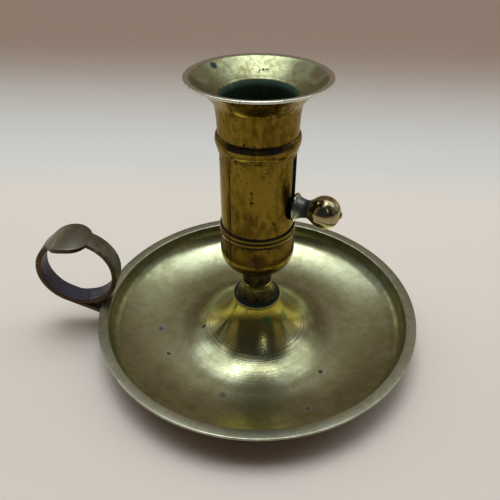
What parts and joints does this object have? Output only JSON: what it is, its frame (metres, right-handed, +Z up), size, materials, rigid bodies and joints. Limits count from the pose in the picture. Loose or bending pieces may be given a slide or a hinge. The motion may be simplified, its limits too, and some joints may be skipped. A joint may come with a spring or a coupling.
{
  "type": "chamberstick with finger loop",
  "caption": "Brass chamberstick: round dished drip pan with a ring handle and thumb rest, and a candle socket whose side knob slides up to raise the candle.",
  "frame": {"origin": "on the candle socket's axis, at the table surface that the pan stands on", "axes": "+Z up along the candle, -X towards the finger loop"},
  "size_m": [0.1424, 0.12, 0.1035],
  "materials": {
    "pan_brass": "satin, clouded patina",
    "loop_brass": "dark patina",
    "socket_brass": "polished, spotted",
    "knob_brass": "polished",
    "collar_brass": "grey-green patina",
    "hidden_brass": "plain turned"
  },
  "bodies": {
    "base": {"drip_pan": "pan_brass", "finger_loop": "loop_brass", "stem": "socket_brass", "stem_washer": "hidden_brass", "stem_nut": "hidden_brass", "socket_barrel": "socket_brass", "nozzle": "socket_brass"},
    "ejector": {"ejector_cup": "hidden_brass", "ejector_stud": "hidden_brass", "stud_nut": "hidden_brass", "knob_collar": "collar_brass", "push_knob": "knob_brass"}
  },
  "joints": [
    {"name": "ejector_slide", "type": "slide", "parent": "base", "child": "ejector", "axis": [0, 0, 1], "range_m": [0, 0.0145]}
  ]
}
